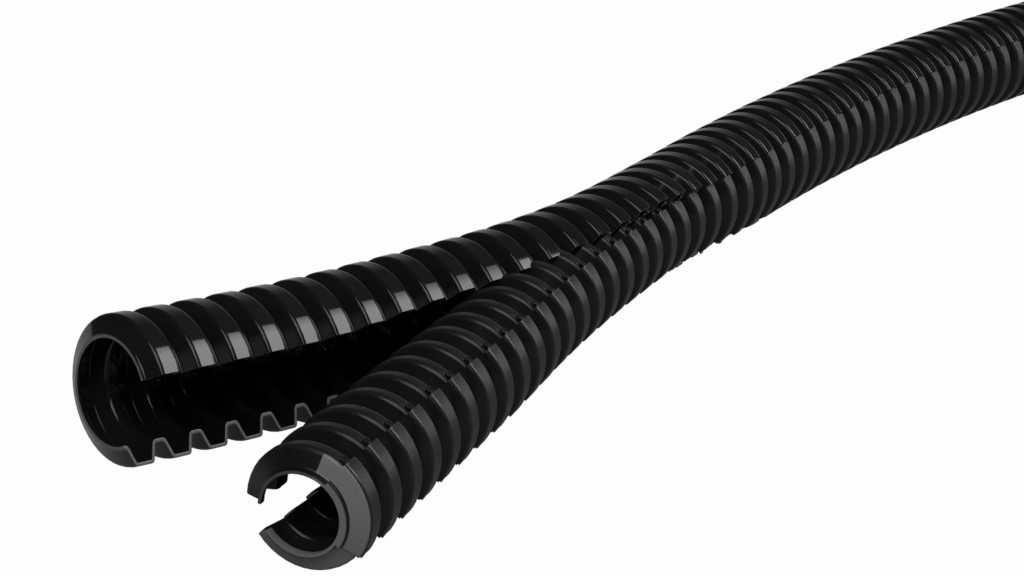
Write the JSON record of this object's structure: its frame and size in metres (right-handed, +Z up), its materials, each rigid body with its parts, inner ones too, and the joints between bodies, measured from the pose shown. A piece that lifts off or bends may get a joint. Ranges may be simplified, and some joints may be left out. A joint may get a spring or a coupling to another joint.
{
  "type": "divisible corrugated conduit",
  "caption": "Length of two-shell corrugated cable conduit, closed into a round tube along most of its length and peeled apart into two C-section shells at one end.",
  "frame": {"origin": "middle of the bounding box in plan, on the floor it lies on", "axes": "+X along the straight closed run towards its cut far end, +Z up"},
  "size_m": [0.5035, 0.0876, 0.0259],
  "materials": {
    "outer_plastic": "gloss",
    "inner_plastic": "satin"
  },
  "bodies": {
    "root": {"outer_shell": "outer_plastic", "inner_shell": "inner_plastic"}
  },
  "joints": []
}
